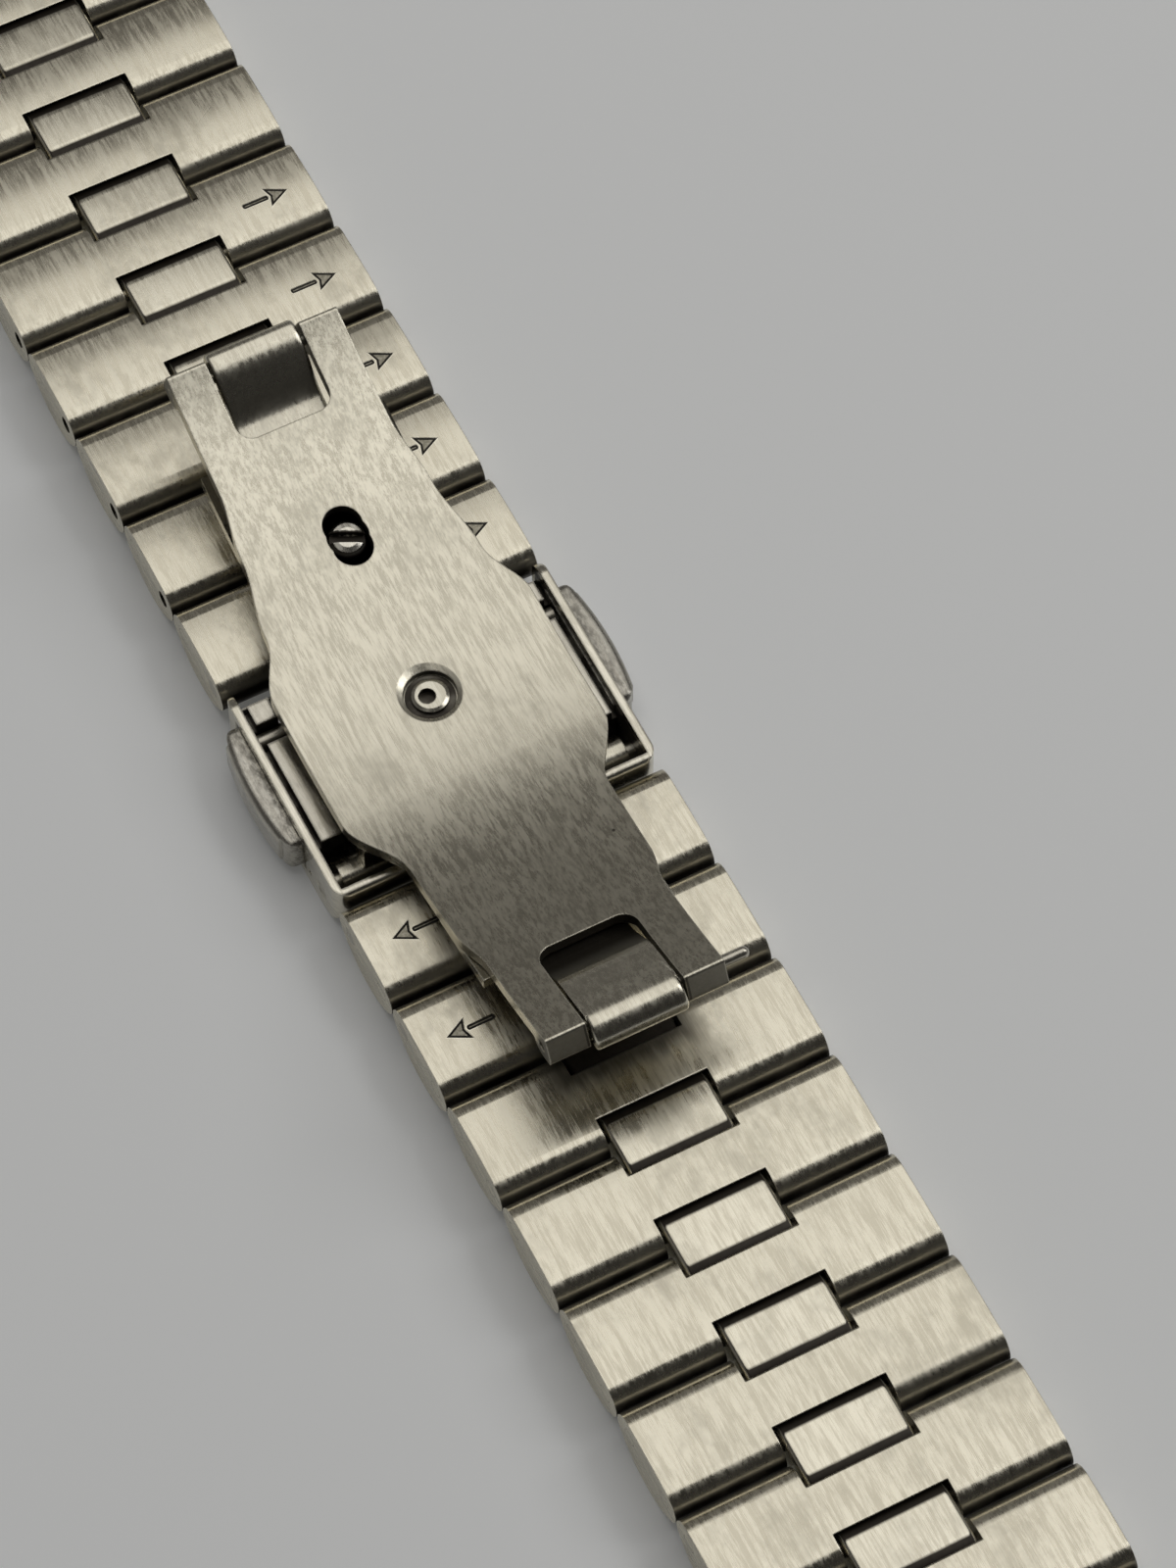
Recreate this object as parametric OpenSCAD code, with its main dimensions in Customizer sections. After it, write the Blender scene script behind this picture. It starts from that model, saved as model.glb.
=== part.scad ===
// A steel watch bracelet that lies flat on its outer faces, with its two-blade folding clasp shut.
// X runs across the band, Y along it and Z up, towards the wrist.
// The origin is on the floor, under the middle of the clasp box.
// Side A is the half on +Y and side B the half on -Y; links count outwards from the clasp.

/* [Band] */
// Width of the band
band_w = 20; // [19.6:0.2:20.6]
// Distance from one link to the next
link_pitch = 6.7; // [6.6:0.05:6.8]
// Thickness of a link at its pins, from its domed outer face to its inner face
link_t = 3.7; // [3.66:0.02:3.76]
// Radius of the slight crown on a link's inner face
link_crown_r = 30; // [25:1:80]
// Space between two neighbouring links
link_gap = 0.1; // [0.08:0.01:0.12]
// Distance from the line between two links to a pin
pin_inset = 1.4; // [1.38:0.01:1.42]
// Length of an end link
end_link_len = 6; // [5.8:0.1:6.4]
// Radius of the end link's hole for the watch's spring bar
bar_hole_r = 0.8; // [0.7:0.05:0.85]

/* [Connectors and pins] */
// Width of a connector piece
connector_w = 6.4; // [6.2:0.1:6.6]
// Radius of a connector's round ends
connector_r = 1.3; // [1.25:0.01:1.32]
// Space between a connector and each side of its slot
slot_play = 0.2; // [0.1:0.05:0.3]
// Radius of the pocket that a connector turns in
pocket_r = 1.45; // [1.42:0.01:1.48]
// Radius of a pin
pin_r = 0.5; // [0.45:0.01:0.52]
// Running clearance round a pin, on the radius
pin_play = 0.05; // [0.03:0.01:0.08]
// Clearance round a pin in the piece that holds it, on the radius
pin_seat = 0.02; // [0.01:0.01:0.03]
// Depth of a push hole, in front of a removable pin
push_depth = 0.6; // [0.4:0.1:0.8]

/* [Clasp plate] */
// Radius of the plate's hollow face, towards the wrist
plate_r = 55; // [54:0.5:57]
// Thickness of the plate
plate_t = 0.9; // [0.85:0.05:0.95]
// Height of the middle of the plate's hollow face
plate_top = 5.85; // [5.8:0.05:6]
// Distance from the middle of the plate to each blade hinge
hinge_y = 23.2; // [22.8:0.1:23.6]
// Radius of the hinge barrels on the plate's ears
ear_r = 0.93; // [0.91:0.01:0.95]
// Radius of the upper edge of an ear's end
ear_edge_r = 0.2; // [0.15:0.05:0.3]
// Half of the plate's width at its ears
ear_half = 5.35; // [5.2:0.05:5.5]
// Half of the opening between the ears
fork_half = 2.95; // [2.9:0.01:3]
// Where the opening between the ears ends, on side A
fork_a_y = 18.9; // [18.7:0.1:19.1]
// Where the opening between the ears ends, on side B
fork_b_y = -17.5; // [-17.7:0.1:-17.3]
// Half of the plate's width at its shoulders
shoulder_half = 8.1; // [7.9:0.1:8.3]
// Radius of a hinge pin
hinge_pin_r = 0.35; // [0.32:0.01:0.36]
// Reach of hinge pin B beyond the plate's ear
pin_reach = 1.75; // [1:0.25:2]

/* [Blades] */
// Thickness of a blade
blade_t = 0.8; // [0.75:0.05:0.85]
// Space between the plate and a blade under it
blade_gap = 0.15; // [0.12:0.01:0.18]
// Half of a blade's width
blade_half = 5.8; // [5.6:0.1:5.9]
// Half of blade B's width over the box
heel_half = 7.5; // [7.4:0.05:7.55]
// Radius of a blade's knuckle at its plate hinge
knuckle_r = 0.9; // [0.88:0.01:0.92]
// Radius of the bend that takes blade A down to its barrel
bend_r = 1.6; // [1.55:0.05:1.65]
// Where the snap stud stands on blade A
snap_y = 12; // [11.9:0.05:12.1]

/* [Clasp box] */
// Height of the box's side walls
box_h = 4.15; // [4.1:0.01:4.2]
// Thickness of the box's walls and floor
wall_t = 0.5; // [0.48:0.01:0.52]
// Radius of the box's lower end edges
box_edge_r = 2.6; // [2.4:0.1:2.8]
// Distance from the middle of the box to the box pin
box_pin_y = -5.2; // [-5.25:0.01:-5.15]
// Height of the box pin
box_pin_z = 1.75; // [1.74:0.01:1.78]
// Radius of the barrels on the box pin
box_barrel_r = 1.15; // [1.12:0.01:1.16]

/* [Buttons and lock] */
// Length of a button along the band
button_len = 8.6; // [8.2:0.1:8.8]
// Reach of a button beyond the side wall, at its middle
button_out = 1.4; // [1.2:0.1:1.6]
// Reach of a button beyond the side wall, at its ends
button_end_out = 0.95; // [0.9:0.05:1.1]
// Height of a button
button_h = 2.6; // [2.4:0.1:2.7]
// Travel of a button
button_travel = 0.8; // [0.7:0.05:0.85]
// Distance from the middle of the box to the middle of the buttons
button_y = 1.3; // [1.2:0.05:1.4]
// Radius of the locking stud's shank
stud_r = 1.1; // [1.05:0.01:1.12]
// Depth of the groove in the locking stud
stud_groove = 0.35; // [0.3:0.01:0.38]
// Radius of a spring, at the middle of its wire
spring_r = 0.8; // [0.75:0.01:0.82]
// Diameter of the springs' wire
spring_wire = 0.3; // [0.25:0.01:0.32]
// Curls in each spring
spring_curls = 8; // [6:1:8]

/* [Hidden] */
$fn = 64;
eps = 0.01;
through = 2 * band_w;

// The band
links = 8;
half_w = band_w / 2;
clasp_half = 7.5;
end_r = pin_inset - link_gap / 2;
pin_z = link_t - end_r;
link_half = link_pitch / 2 - pin_inset;
end_half = end_link_len / 2 - pin_inset;
slot_w = connector_w + 2 * slot_play;
slot_back = 0.4;
bore_r = pin_r + pin_play;
seat_r = pin_r + pin_seat;
// Links whose pin on the clasp's side can be pushed out
loose_a = 5;
loose_b = 2;

// The clasp plate: its faces are parts of cylinders across the band
arc_z = plate_top + plate_r;
plate_low_r = plate_r + plate_t;
hinge_z = arc_z - sqrt(pow(plate_low_r, 2) - pow(hinge_y, 2));
hinge_a = [hinge_y, hinge_z];
hinge_b = [-hinge_y, hinge_z];
ear_bore_r = hinge_pin_r + pin_seat;
knuckle_bore_r = hinge_pin_r + pin_play;
ear_foot_r = 0.35;
fork_corner = 1;
stud_at = [0, 1.1];
stud_rim_r = 1.82;
stud_rim_t = 0.12;
stud_well_r = 1.55;
stud_well_t = 0.55;
stud_flange_r = 1.45;
stud_flange_t = 0.12;
stud_boss_in = 0.12;
stud_boss_edge = 0.22;
stud_dimple_r = 0.5;
stud_dimple_t = 0.4;
stud_dimple_x = -0.2;
snap_at_x = 0.15;
snap_hole_r = 1.17;
snap_hole_step = 0.69;
snap_hole_mid_r = 1.24;

// The blades: their sheets lie along the plate, closer to the links
sheet_top_r = plate_low_r + blade_gap;
sheet_low_r = sheet_top_r + blade_t;
tongue_half = fork_half - slot_play;
sheet_back = 0.3;
tongue_back = 0.3;
tongue_steps = 8;
tongue_bury = 0.15;
clasp_pin_a = [clasp_half + pin_inset, pin_z];
lug_half = connector_w / 2;
neck_half = lug_half + 0.6;
neck_len = 1.6;
heel_y = -7.2;
heel_past = 1;
heel_leg = 0.5;
snap_r = 1.1;
snap_shank_r = 0.6;
snap_rise = 0.85;
snap_slit = 0.6;
snap_turn = -24;
snap_foot = 0.15;
snap_lip = 0.2;
snap_crown = 0.5;
snap_round = 0.1;

// The box
box_pin = [box_pin_y, box_pin_z];
box_half = clasp_half - link_gap / 2;
box_in_half = box_half - wall_t;
box_in_w = half_w - wall_t;
box_corner_r = 0.9;
box_a_wall = 1.6;
window_rim = 0.12;
box_a_rim_r = 1.25;
box_b_rim_r = 0.3;
barrel_half = box_in_w - 0.6;
tool_hole = [button_y - button_len / 2 - 0.64, 1.22];
tool_hole_r = 0.25;
clasp_pin_b = [-clasp_half - pin_inset, pin_z];

// The buttons, their sliders, the rod and the springs
button_mid_z = 2.1;
button_play = 0.06;
button_edge_r = 0.5;
button_corner_r = 0.9;
slider_in = half_w - 2.25;
slider_out = half_w - 0.94;
slider_flange = box_in_w - 0.08;
slider_y = [button_y - button_len / 2 - 0.45, button_y + button_len / 2 + 0.7];
slider_z = [0.6, 3.6];
slider_flange_z = 2.8;
rod_at = [4.25, 2.7];
rod_r = 0.5;
rod_half = slider_flange - 0.12;
saddle_y = [rod_at[0] - 0.5, rod_at[0] + 0.5];
slider_edge_r = 1.5;
rod_groove = [rod_at[0] - 0.7, rod_at[0] + 0.7];
collar_half = 1;
collar_r = 0.95;
saddle_top = rod_at[1] - collar_r + 0.35;
arm_z = [1.3, 2.1];
arm_w = 0.95;
arm_play = 0.1;
claw_x = 2.3;
claw_past = 0.6;
claw_gap = 0.05;
stud_tip_z = 0.9;
stud_rim = 0.05;
stud_side = stud_r + 0.15;

// Each spring is a helix along X round the rod
spring_rings = 8;
spring_sides = 6;
spring_from = collar_half + 0.05 + spring_wire / 2;
spring_to = slider_in - 0.05 - spring_wire / 2;
spring_pitch = (spring_to - spring_from) / spring_curls;
function spring_angle(i) = 360 * i / spring_rings;
function spring_mid(i) = [
    spring_from + spring_pitch * i / spring_rings,
    rod_at[0] + spring_r * cos(spring_angle(i)),
    rod_at[1] + spring_r * sin(spring_angle(i))
];
spring_turn_len = 2 * PI * spring_r;
spring_slope = atan(spring_pitch / spring_turn_len);
function spring_ring(i) = [
    for (k = [0:spring_sides - 1])
        let (
            t = 360 * k / spring_sides,
            c = spring_wire / 2 * cos(t),
            s = spring_wire / 2 * sin(t),
            a = spring_angle(i)
        )
        spring_mid(i) + [
            s * cos(spring_slope),
            c * cos(a) + s * sin(spring_slope) * sin(a),
            c * sin(a) - s * sin(spring_slope) * cos(a)
        ]
];
spring_steps = spring_curls * spring_rings;
spring_gap = min([
    for (i = [0:spring_steps - spring_rings])
        for (j = [-2:2])
            let (k = min(spring_steps, i + spring_rings + j))
            norm(spring_mid(k) - spring_mid(i))
]) - spring_wire;
echo(spring_least_gap = spring_gap);

// Where link k starts, on the clasp's side
function link_start(k) = clasp_half + (k - 1) * link_pitch;
// Radius of the outer face that runs smoothly into both round ends of a link
function face_r(half) = (half * half - end_r * end_r + pin_z * pin_z) / (2 * (pin_z - end_r));
// Eases from 0 to 1
function ease(t) = t * t * (3 - 2 * t);
// Height of the arc of radius r about the plate's axis, at y
function arc_at(r, y) = arc_z - sqrt(r * r - y * y);

// A shape in Y and Z, drawn out along X from one place to another
module along_x(x0, x1) {
    translate([x0, 0, 0])
        rotate([90, 0, 90])
            linear_extrude(x1 - x0)
                children();
}

// A round bar across the band
module bar(at, r, x0, x1) {
    translate([x0, at[0], at[1]])
        rotate([0, 90, 0])
            cylinder(r = r, h = x1 - x0, $fn = r > band_w ? 360 : $fn);
}

// The side view of a link with pins at both ends
module link_side(half) {
    r = face_r(half);
    reach = 2 * r / (r - end_r);
    low = [half * reach, r + (pin_z - r) * reach];
    crown_z = pin_z - sqrt(pow(link_crown_r - end_r, 2) - half * half);
    rise = (link_crown_r + 1) / (link_crown_r - end_r);
    high = [half * rise, crown_z + (pin_z - crown_z) * rise];
    for (s = [-1, 1])
        translate([s * half, pin_z])
            circle(r = end_r);
    intersection() {
        translate([0, r])
            circle(r = r);
        translate([0, crown_z])
            circle(r = link_crown_r, $fn = 360);
        polygon([
            [-high[0], high[1]], high, [half, pin_z],
            low, [-low[0], low[1]], [-half, pin_z]
        ]);
    }
}

// The slot and pocket for a connector at y = half
module pocket(half) {
    bar([half, pin_z], pocket_r, -slot_w / 2, slot_w / 2);
    translate([-slot_w / 2, half - slot_back, -eps])
        cube([slot_w, pin_inset + slot_back, link_t + 1]);
}

// A link in the middle of its own length; own_pins lists the sides whose pins are pressed in
module link(own_pins) {
    difference() {
        along_x(-half_w, half_w)
            link_side(link_half);
        for (s = [0, 1])
            mirror([0, s, 0]) {
                pocket(link_half);
                bar([link_half, pin_z], seat_r, -through, through);
            }
    }
    for (s = own_pins)
        bar([s * link_half, pin_z], pin_r, -half_w, half_w);
}

// Link k on one side, which is 1 on side A and -1 on side B
module band_link(side, k, loose) {
    color("silver")
        translate([0, side * (link_start(k) + link_pitch / 2), 0])
            link(k <= loose ? [side] : [-1, 1]);
}

// The end link: a spring bar of the watch goes through its outer end
module end_link(side) {
    mid = link_start(links + 1) + end_link_len / 2;
    color("silver")
        mirror([0, side < 0 ? 1 : 0, 0])
            translate([0, mid, 0]) {
                difference() {
                    along_x(-half_w, half_w)
                        link_side(end_half);
                    mirror([0, 1, 0]) {
                        pocket(end_half);
                        bar([end_half, pin_z], seat_r, -through, through);
                    }
                    bar([end_half, pin_z], bar_hole_r, -through, through);
                }
                bar([-end_half, pin_z], pin_r, -half_w, half_w);
            }
}

// A piece with two round ends, about the places p and q
module stadium(p, q, r, w, bores) {
    d = q - p;
    difference() {
        translate([0, p[0], p[1]])
            rotate([atan2(d[1], d[0]), 0, 0])
                along_x(-w / 2, w / 2) {
                    circle(r = r);
                    translate([norm(d), 0])
                        circle(r = r);
                    translate([0, -r])
                        square([norm(d), 2 * r]);
                }
        bar(p, bores, -w, w);
        bar(q, bores, -w, w);
    }
}

// Connector k joins link k to the next link out
module connector(side, k) {
    line = side * link_start(k + 1);
    color("gray")
        stadium([line - pin_inset, pin_z], [line + pin_inset, pin_z], connector_r, connector_w, bore_r);
}

// The connector that joins the box pin to link B1
module box_connector() {
    color("gray")
        stadium(box_pin, clasp_pin_b, box_barrel_r, connector_w, bore_r);
}

// A removable pin, at the clasp's end of link k
module loose_pin(side, k, recess) {
    color("lightgray")
        bar([side * (link_start(k) + pin_inset), pin_z], pin_r, -half_w + recess, half_w);
}

// Points of an outline that is symmetric about Y, eased from each [y, half width] to the next
function eased(knots) = [
    for (i = [0:len(knots) - 2])
        let (p = knots[i], q = knots[i + 1], n = abs(q[1] - p[1]) < 0.3 ? 1 : 8)
            for (j = [0:n - 1])
                [p[1] + (q[1] - p[1]) * ease(j / n), p[0] + (q[0] - p[0]) * j / n],
    [knots[len(knots) - 1][1], knots[len(knots) - 1][0]]
];
module outline(knots) {
    right = eased(knots);
    n = len(right);
    polygon(concat(right, [for (i = [0:n - 1]) [-right[n - 1 - i][0], right[n - 1 - i][1]]]));
}

// What lies inside a cylinder about the plate's axis, in an outline seen from above
module slab(r_low) {
    intersection() {
        bar([0, arc_z], r_low, -half_w, half_w);
        linear_extrude(arc_z / 2)
            children();
    }
}

// What lies between two radii about the plate's axis, in an outline seen from above
module sheet(r_top, r_low) {
    difference() {
        slab(r_low)
            children();
        bar([0, arc_z], r_top, -through, through);
    }
}

// Puts a shape at y on the plate's arc, with its own Z pointing at the arc's axis
module on_arc(y) {
    translate([0, 0, arc_z])
        rotate([asin(y / plate_low_r), 0, 0])
            children();
}

// The opening between two ears, seen from above, with round inner corners
module fork(end) {
    translate([-fork_half, end + fork_corner])
        square([2 * fork_half, hinge_y]);
    translate([-fork_half + fork_corner, end])
        square([2 * (fork_half - fork_corner), hinge_y]);
    for (s = [-1, 1])
        translate([s * (fork_half - fork_corner), end + fork_corner])
            circle(r = fork_corner);
}

// The side view of an ear's end, with its origin at the hinge pin and its upper face along the plate
module ear_side() {
    top = plate_low_r - sqrt(pow(plate_r + ear_edge_r, 2) - pow(ear_r - ear_edge_r, 2)) + ear_edge_r;
    difference() {
        translate([-ear_r, -ear_r])
            square([2 * ear_r, ear_r + top]);
        round_off([ear_r, top], [-1, -1], ear_edge_r);
        round_off([ear_r, -ear_r], [-1, 1], ear_foot_r);
        round_off([-ear_r, -ear_r], [1, 1], ear_r);
    }
}

// The curved plate that carries both blades' hinges
module centre_plate() {
    knots = [
        [-hinge_y, ear_half], [-17, ear_half + 0.05], [-14, 5.95], [-8.8, 6.1], [-4.4, shoulder_half],
        [4.5, shoulder_half], [8.2, 6.75], [13, 5.95], [17, ear_half + 0.05], [hinge_y, ear_half]
    ];
    color("gainsboro")
        difference() {
            union() {
                slab(plate_low_r)
                    outline(knots);
                for (s = [0, 1])
                    mirror([0, s, 0])
                        on_arc(hinge_y)
                            translate([0, 0, -plate_low_r])
                                for (x = [-ear_half, fork_half])
                                    along_x(x, x + ear_half - fork_half)
                                        ear_side();
            }
            bar([0, arc_z], plate_r, -through, through);
            linear_extrude(arc_z / 2) {
                fork(fork_a_y);
                mirror([0, 1])
                    fork(-fork_b_y);
            }
            for (q = [hinge_a, hinge_b])
                bar(q, ear_bore_r, -through, through);
            translate([stud_at[0], stud_at[1], 0])
                cylinder(r = stud_r + pin_seat, h = plate_top + 1);
            translate([stud_at[0], stud_at[1], plate_top - stud_well_t])
                cylinder(r = stud_well_r, h = 2);
            translate([stud_at[0], stud_at[1], plate_top - stud_rim_t])
                cylinder(r1 = stud_well_r, r2 = 2 * stud_rim_r - stud_well_r, h = 2 * stud_rim_t);
            on_arc(snap_y)
                translate([snap_at_x, 0, -plate_low_r - 1])
                    linear_extrude(plate_t + 2) {
                        circle(r = snap_hole_mid_r);
                        for (s = [-1, 1])
                            translate([0, s * snap_hole_step])
                                circle(r = snap_hole_r);
                    }
        }
}

// The stud under the plate, which the sliders' claws hold by its groove
module locking_stud() {
    neck = stud_r - stud_groove;
    groove = [arm_z[0] - arm_play, arm_z[1] + arm_play];
    flange = plate_top - stud_well_t + pin_seat;
    top = plate_top - stud_boss_in;
    color("gray")
        translate([stud_at[0], stud_at[1], 0])
            difference() {
                rotate_extrude()
                    polygon([
                        [0, stud_tip_z], [neck, stud_tip_z], [stud_r, groove[0] - stud_rim],
                        [stud_r, groove[0]], [neck, groove[0]], [neck, groove[1]],
                        [stud_r, groove[1]], [stud_r, flange], [stud_flange_r, flange],
                        [stud_flange_r, flange + stud_flange_t], [stud_r, flange + stud_flange_t],
                        [stud_r, top - stud_boss_edge / 2], [stud_r - stud_boss_edge, top], [0, top]
                    ]);
                translate([stud_dimple_x, 0, top - stud_dimple_t])
                    cylinder(r = stud_dimple_r, h = 1);
            }
}

// Hinge pins of the plate: pin A ends flush, pin B stands out on the right
module hinge_pin_a() {
    color("lightgray")
        bar(hinge_a, hinge_pin_r, -ear_half, ear_half);
}
module hinge_pin_b() {
    color("lightgray") {
        bar(hinge_b, hinge_pin_r, -ear_half + push_depth, ear_half + pin_reach - hinge_pin_r);
        translate([ear_half + pin_reach - hinge_pin_r, hinge_b[0], hinge_b[1]])
            sphere(r = hinge_pin_r);
    }
}

// A blade's tongue, from its hinge down under the edge of the fork at y = edge
module tongue(edge) {
    near = edge + tongue_back;
    far = near + tongue_half;
    high = plate_r + pin_play;
    deep = sheet_top_r + tongue_bury;
    mid = [
        for (i = [0:tongue_steps])
            let (t = i / tongue_steps)
                [far + (near - far) * t, high + (deep - high) * ease(t)]
    ];
    path = concat([[hinge_y, high]], mid, [[edge - 3 * fork_corner, deep]]);
    n = len(path);
    low = [for (p = path) [p[0], min(p[1] + blade_t, sheet_low_r - tongue_bury)]];
    along_x(-tongue_half, tongue_half)
        polygon(concat(
            [for (p = path) [p[0], arc_at(p[1], p[0])]],
            [for (i = [1:n]) [low[n - i][0], arc_at(low[n - i][1], low[n - i][0])]]
        ));
    bar([hinge_y, hinge_z], knuckle_r, -tongue_half, tongue_half);
}

// Blade A: hinged on the plate, and bent down to a barrel in link A1
module blade_a() {
    leg_y = clasp_pin_a[0] - blade_t / 2;
    bend_y = leg_y + bend_r;
    bend_z = arc_at(sheet_top_r, bend_y) - bend_r;
    start = bend_y - sheet_back;
    end = fork_a_y - sheet_back;
    color("darkgray")
        difference() {
            union() {
                tongue(fork_a_y);
                sheet(sheet_top_r, sheet_low_r)
                    outline([[start, neck_half], [start + neck_len, blade_half], [end, blade_half]]);
                along_x(-lug_half, lug_half) {
                    intersection() {
                        difference() {
                            translate([bend_y, bend_z])
                                circle(r = bend_r);
                            translate([bend_y, bend_z])
                                circle(r = bend_r - blade_t);
                        }
                        translate([leg_y, bend_z])
                            square([bend_r, bend_r]);
                    }
                    translate([leg_y, pin_z])
                        square([blade_t, bend_z - pin_z]);
                }
                bar(clasp_pin_a, connector_r, -lug_half, lug_half);
            }
            bar(hinge_a, knuckle_bore_r, -through, through);
            bar(clasp_pin_a, bore_r, -through, through);
            on_arc(snap_y)
                translate([snap_at_x, 0, -sheet_low_r - 1])
                    cylinder(r = snap_shank_r + pin_seat, h = 3);
        }
}

// The split stud on blade A that snaps into the plate's long hole
module snap_stud() {
    top = snap_rise - pin_seat;
    color("gainsboro")
        on_arc(snap_y)
            translate([snap_at_x, 0, -sheet_top_r + pin_seat])
                difference() {
                    rotate_extrude()
                        polygon([
                            [0, -blade_t], [snap_shank_r, -blade_t], [snap_shank_r, 0],
                            [snap_r - snap_foot, 0], [snap_r, top / 2], [snap_r - snap_lip, top - snap_round],
                            [snap_r - snap_crown, top], [0, top]
                        ]);
                    rotate([0, 0, snap_turn])
                        translate([-2 * snap_r, -snap_slit / 2, top / 3])
                            cube([4 * snap_r, snap_slit, snap_rise]);
                }
}

// Blade B: hinged on the plate, with two barrels on the box pin
module blade_b() {
    end = fork_b_y + sheet_back;
    color("darkgray")
        difference() {
            union() {
                mirror([0, 1, 0])
                    tongue(-fork_b_y);
                sheet(sheet_top_r, sheet_low_r)
                    outline([
                        [end, blade_half], [heel_y, blade_half],
                        [box_pin_y, heel_half], [box_pin_y + heel_past, heel_half]
                    ]);
                for (s = [0, 1])
                    mirror([s, 0, 0]) {
                        bar(box_pin, box_barrel_r, slot_w / 2, barrel_half);
                        translate([slot_w / 2, box_pin_y - heel_leg, box_pin_z])
                            cube([
                                heel_half - slot_w / 2, 2 * heel_leg,
                                arc_at(sheet_low_r, box_pin_y) + blade_t / 2 - box_pin_z
                            ]);
                    }
            }
            bar(hinge_b, knuckle_bore_r, -through, through);
            bar(box_pin, bore_r, -through, through);
        }
}

// What a square corner at p loses when it is rounded; in points from the corner into the shape
module round_off(p, in, r) {
    difference() {
        translate(p + [min(0, in[0]) * r - (in[0] > 0 ? 1 : 0), min(0, in[1]) * r - (in[1] > 0 ? 1 : 0)])
            square(r + 1);
        translate(p + in * r)
            circle(r = r);
    }
}

// The side view of the box or of its hollow
module box_side(half, low, top, edge, rim_a, rim_b) {
    difference() {
        translate([-half, low])
            square([2 * half, top - low]);
        round_off([-half, low], [1, 1], edge);
        round_off([half, low], [-1, 1], edge);
        round_off([half, top], [-1, -1], rim_a);
        round_off([-half, top], [1, -1], rim_b);
    }
}

// The clasp's box, open towards the wrist
module clasp_box() {
    window_h = button_h + 2 * button_play;
    window_len = button_len + 2 * button_play;
    color("silver") {
        difference() {
            intersection() {
                along_x(-half_w, half_w)
                    box_side(box_half, 0, box_h, box_edge_r, box_a_rim_r, box_b_rim_r);
                linear_extrude(box_h)
                    difference() {
                        translate([-half_w, -box_half])
                            square([band_w, 2 * box_half]);
                        for (sx = [-1, 1])
                            for (sy = [-1, 1])
                                round_off([sx * half_w, sy * box_half], [-sx, -sy], box_corner_r);
                    }
            }
            along_x(-box_in_w, box_in_w)
                difference() {
                    translate([-box_in_half, wall_t])
                        square([2 * box_in_half, box_h]);
                    round_off([-box_in_half, wall_t], [1, 1], box_edge_r - wall_t);
                    round_off([box_in_half, wall_t], [-1, 1], box_edge_r - wall_t);
                }
            translate([-box_in_w, box_in_half - eps, box_a_wall])
                cube([2 * box_in_w, 1, box_h]);
            translate([-slot_w / 2, -box_half - 1, wall_t])
                cube([slot_w, box_edge_r + 1, box_h]);
            bar(box_pin, seat_r, -through, through);
            bar(tool_hole, tool_hole_r, -through, -box_in_w + eps);
            window_at = [button_y - window_len / 2, button_mid_z - window_h / 2];
            translate([-through, window_at[0], window_at[1]])
                cube([2 * through, window_len, window_h]);
            for (x = [-half_w - 1, half_w - window_rim])
                translate([x, window_at[0] - window_rim, window_at[1] - window_rim])
                    cube([1 + window_rim, window_len + 2 * window_rim, window_h + 2 * window_rim]);
        }
        difference() {
            translate([-collar_half, saddle_y[0], wall_t - eps])
                cube([2 * collar_half, saddle_y[1] - saddle_y[0], saddle_top - wall_t]);
            bar(rod_at, collar_r + pin_seat, -through, through);
        }
    }
}

// The pin that joins the box, blade B and the box connector
module box_pin() {
    color("lightgray")
        bar(box_pin, pin_r, -half_w + pin_seat, half_w - pin_seat);
}

// The rod that the sliders run on, with a collar between the springs
module guide_rod() {
    color("lightgray") {
        bar(rod_at, rod_r, -rod_half, rod_half);
        bar(rod_at, collar_r, -collar_half, collar_half);
    }
}

// The right button: a half-moon pillow outside the box and a block through the wall
module button() {
    bow = button_out - button_end_out;
    bow_r = (pow(button_len / 2, 2) + pow(bow, 2)) / (2 * bow);
    low = button_mid_z - button_h / 2;
    color("white")
        difference() {
            union() {
                pillow(bow_r, low);
                translate([slider_flange, button_y - button_len / 2, low])
                    cube([half_w - slider_flange, button_len, button_h]);
            }
            bar(rod_at, rod_r + pin_play, slider_flange - 1, slider_flange + button_travel + 0.1);
        }
}

// The button's pillow: a long bow seen from above, with round corners and rounded edges
module pillow(bow_r, low) {
    reach = button_out + pin_play;
    intersection() {
        translate([half_w + button_out - bow_r, button_y, 0])
            rotate_extrude($fn = 360)
                difference() {
                    translate([0, low])
                        square([bow_r, button_h]);
                    round_off([bow_r, low], [-1, 1], button_edge_r);
                    round_off([bow_r, low + button_h], [-1, -1], button_edge_r);
                }
        translate([half_w - pin_play, button_y, low])
            linear_extrude(button_h)
                pillow_outline(reach);
        along_x(half_w - pin_play, half_w + reach)
            translate([button_y - button_len / 2, low])
                pillow_end(button_len, button_h);
    }
}

// The button from above, with round corners where its bow ends
module pillow_outline(reach) {
    depth = button_end_out + pin_play;
    difference() {
        translate([0, -button_len / 2])
            square([reach, button_len]);
        for (s = [-1, 1])
            round_off([depth, s * button_len / 2], [-1, -s], button_corner_r);
        for (s = [0, 1])
            mirror([0, s])
                translate([depth, button_len / 2 - button_corner_r])
                    square([reach, button_corner_r]);
    }
}

// The button from its side, with rounded ends
module pillow_end(length, height) {
    difference() {
        square([length, height]);
        for (y = [0, height])
            for (x = [0, length])
                round_off([x, y], [x > 0 ? -1 : 1, y > 0 ? -1 : 1], button_edge_r);
    }
}

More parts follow.
